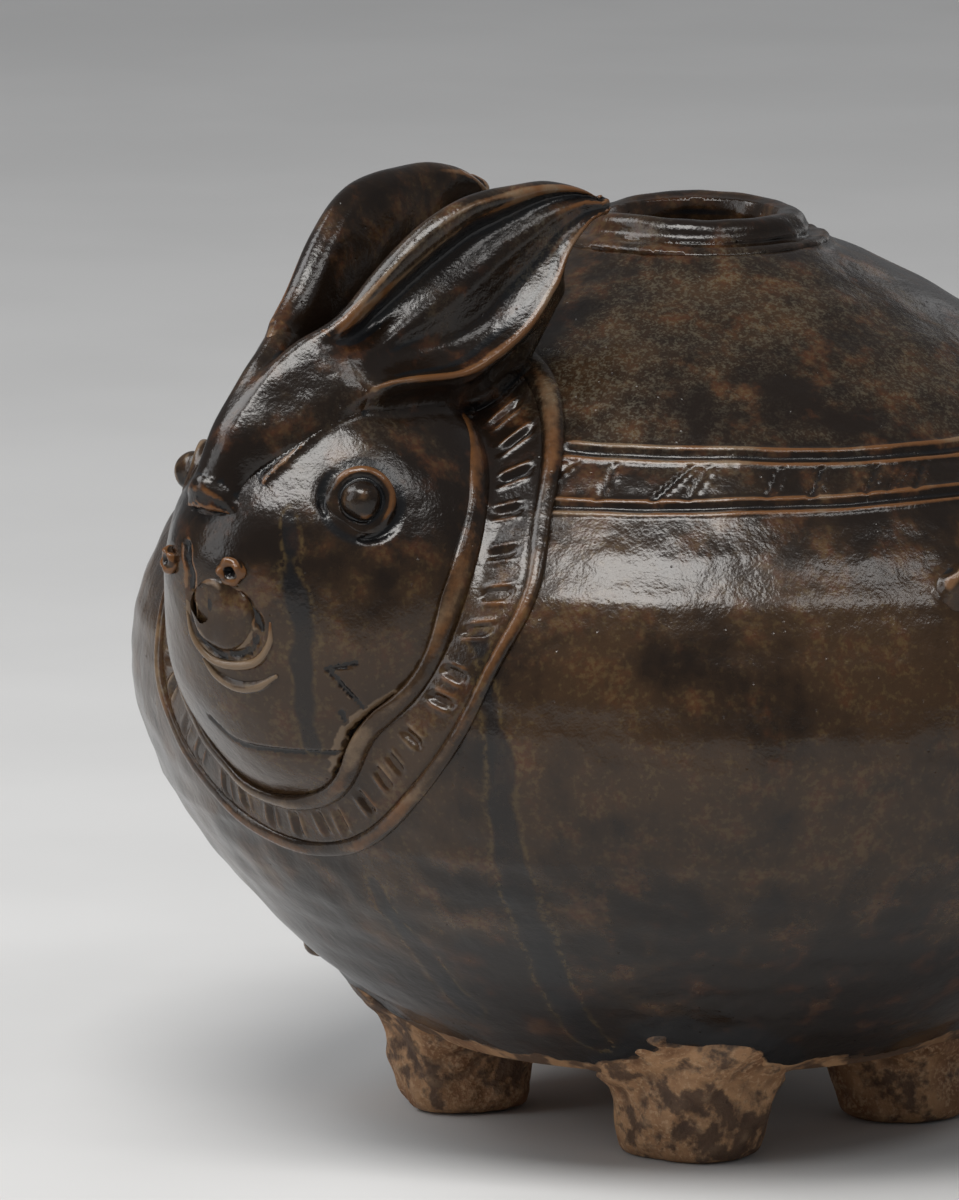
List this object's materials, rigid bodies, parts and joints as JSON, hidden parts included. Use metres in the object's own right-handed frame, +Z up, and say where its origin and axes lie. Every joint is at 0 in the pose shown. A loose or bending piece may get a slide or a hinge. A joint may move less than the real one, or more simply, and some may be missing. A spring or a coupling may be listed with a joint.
{
  "type": "zoomorphic lime pot",
  "caption": "Globular glazed stoneware lime pot on stubby feet, with a small rolled mouth on top and a long-eared animal face in a halter on one side.",
  "frame": {"origin": "on the floor, under the middle of the pot's outline", "axes": "+Z up out of the mouth, -Y the way the animal's face looks, +X to the animal's left"},
  "size_m": [0.1911, 0.213, 0.1662],
  "materials": {
    "glaze": "gloss",
    "bare_clay": "matte"
  },
  "bodies": {
    "root": {"lower_bowl": "glaze", "upper_dome": "glaze", "neck_rim": "glaze", "head": "glaze", "muzzle": "glaze", "brow_crest": "glaze", "nose_lobe": "glaze", "nostril_left": "glaze", "nostril_right": "glaze", "upper_lip": "glaze", "lower_lip": "glaze", "eye_ring_left": "glaze", "eye_ring_right": "glaze", "eye_pellet_left": "glaze", "eye_pellet_right": "glaze", "collar_inner_cord": "glaze", "collar_band": "glaze", "collar_outer_cord": "glaze", "ear_left": "glaze", "ear_right": "glaze", "side_lug_left": "glaze", "side_lug_right": "glaze", "tail": "glaze", "glaze_drip": "glaze", "leg_front_left": "bare_clay", "leg_front_right": "bare_clay", "leg_rear_left": "bare_clay", "leg_rear_right": "bare_clay"}
  },
  "joints": []
}
